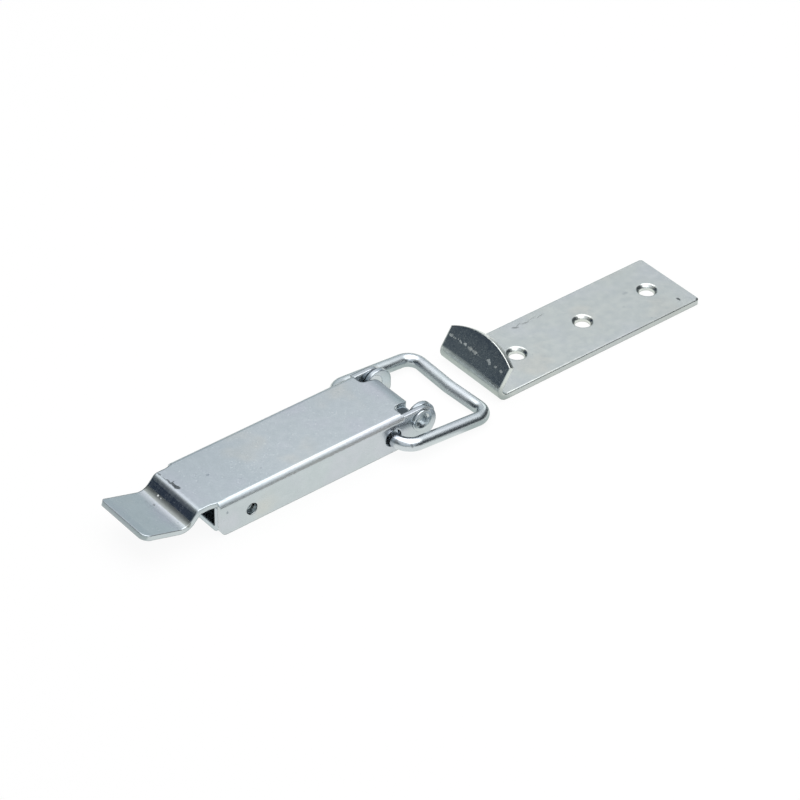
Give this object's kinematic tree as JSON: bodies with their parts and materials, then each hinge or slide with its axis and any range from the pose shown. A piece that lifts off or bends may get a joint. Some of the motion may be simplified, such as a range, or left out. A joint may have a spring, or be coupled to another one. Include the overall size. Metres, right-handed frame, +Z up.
{
  "type": "toggle latch",
  "caption": "Zinc-plated steel draw latch: folded lever channel over a screw-on base, bent wire bail and a separate hooked keeper plate, set out in line on one surface",
  "frame": {"origin": "centre of the latch base's row of three screw holes, on the mounting plane that the base plate, the keeper plate and the wire's end bar lie on", "axes": "+X from the latch towards the keeper plate, along both; +Z up, away from the mounting surface; +Y to the left when looking towards the keeper"},
  "size_m": [0.1932, 0.0372, 0.0133],
  "materials": {
    "base_zinc": "steel sheet, clear blue-white zinc plating, smooth half-gloss",
    "lever_zinc": "steel sheet, clear blue-white zinc plating, smooth half-gloss with a dark scuff near the step",
    "bail_zinc": "steel wire, clear blue-white zinc plating, glossy",
    "rivet_zinc": "steel, clear blue-white zinc plating, half-gloss",
    "keeper_zinc": "steel strip, clear blue-white zinc plating, smooth half-gloss with light scratches on the hook"
  },
  "bodies": {
    "fixed": {"base_plate": "base_zinc", "pivot_rivet_left": "rivet_zinc", "pivot_rivet_right": "rivet_zinc", "keeper_plate": "keeper_zinc"},
    "lever": {"lever": "lever_zinc"},
    "bail": {"bail": "bail_zinc"}
  },
  "joints": [
    {"name": "lever_hinge", "type": "hinge", "parent": "fixed", "child": "lever", "pos_m": [0.03255, 0, 0.00675], "axis": [0, 1, 0], "range_deg": [0, 135]},
    {"name": "bail_hinge", "type": "hinge", "parent": "lever", "child": "bail", "pos_m": [0.02305, 0, 0.00455], "axis": [0, -1, 0], "range_deg": [0, 168]}
  ]
}
